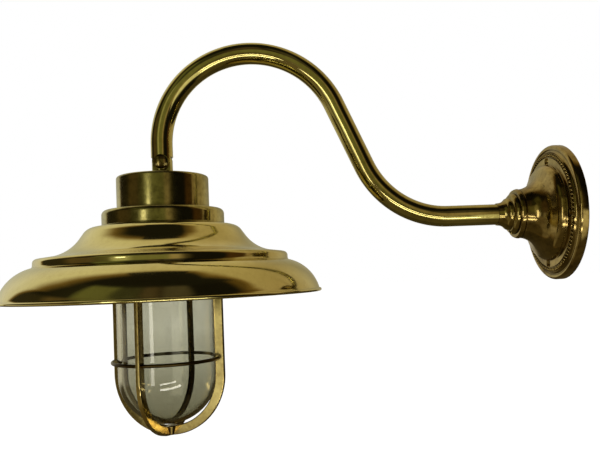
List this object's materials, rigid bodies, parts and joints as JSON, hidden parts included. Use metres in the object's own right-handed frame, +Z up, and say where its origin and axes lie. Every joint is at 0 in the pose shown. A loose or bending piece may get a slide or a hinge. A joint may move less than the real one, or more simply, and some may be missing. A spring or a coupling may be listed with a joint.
{
  "type": "bulkhead wall light",
  "caption": "Swan-neck wall light: a curved brass arm from a round wall rose carries a tilting head with a spun shade, a clear glass dome and a barred guard.",
  "frame": {"origin": "centre of the rose's flat back face, on the wall", "axes": "+Y into the wall, -Y out to the lamp, +Z up, +X to the right for someone who faces the wall"},
  "size_m": [0.2732, 0.4966, 0.3448],
  "materials": {
    "polished_brass": "polished, slightly tarnished",
    "cast_brass": "cast and polished, darker in the recesses",
    "dark_brass": "browned wire",
    "clear_glass": "clear, smooth",
    "black_rubber": "moulded",
    "zinc_steel": "zinc plated",
    "porcelain": "glazed",
    "ivory_plastic": "moulded",
    "white_sheath": "smooth flexible sheath",
    "fibre": "pressed fibre"
  },
  "bodies": {
    "arm": {"wall_rose": "cast_brass", "neck_ferrule": "polished_brass", "ferrule_grub_screw": "zinc_steel", "swan_neck_tube": "polished_brass", "arm_fork": "cast_brass", "pivot_screws": "polished_brass", "rose_bush": "black_rubber", "terminal_block": "ivory_plastic", "terminal_screws": "zinc_steel", "earth_screw": "polished_brass", "arm_lead": "white_sheath"},
    "head": {"cap_stub": "polished_brass", "stub_locknut": "polished_brass", "housing_cap": "polished_brass", "cap_gasket": "black_rubber", "housing_collar": "polished_brass", "spun_shade": "polished_brass", "shade_washer": "fibre", "shade_ring_nut": "polished_brass", "holder_strap": "zinc_steel", "strap_screws": "zinc_steel", "porcelain_holder": "porcelain", "holder_screws": "zinc_steel", "threaded_shell": "polished_brass", "centre_contact": "polished_brass", "head_lead": "white_sheath", "glass_gasket": "black_rubber"},
    "guard": {"guard_cage": "cast_brass", "guard_wire_ring": "dark_brass"},
    "glass": {"glass_dome": "clear_glass"}
  },
  "joints": [
    {"name": "head_tilt", "type": "hinge", "parent": "arm", "child": "head", "pos_m": [0, -0.36, 0.05604], "axis": [1, 0, 0], "range_deg": [-30, 30]},
    {"name": "guard_drop", "type": "slide", "parent": "head", "child": "guard", "axis": [0, 0, -1], "range_m": [0, 0.32]},
    {"name": "glass_lift", "type": "slide", "parent": "guard", "child": "glass", "axis": [0, 0, 1], "range_m": [0, 0.16]}
  ],
  "couplings": [
    {"joint": "glass_lift", "follows": "guard_drop", "ratio": 0.5}
  ]
}
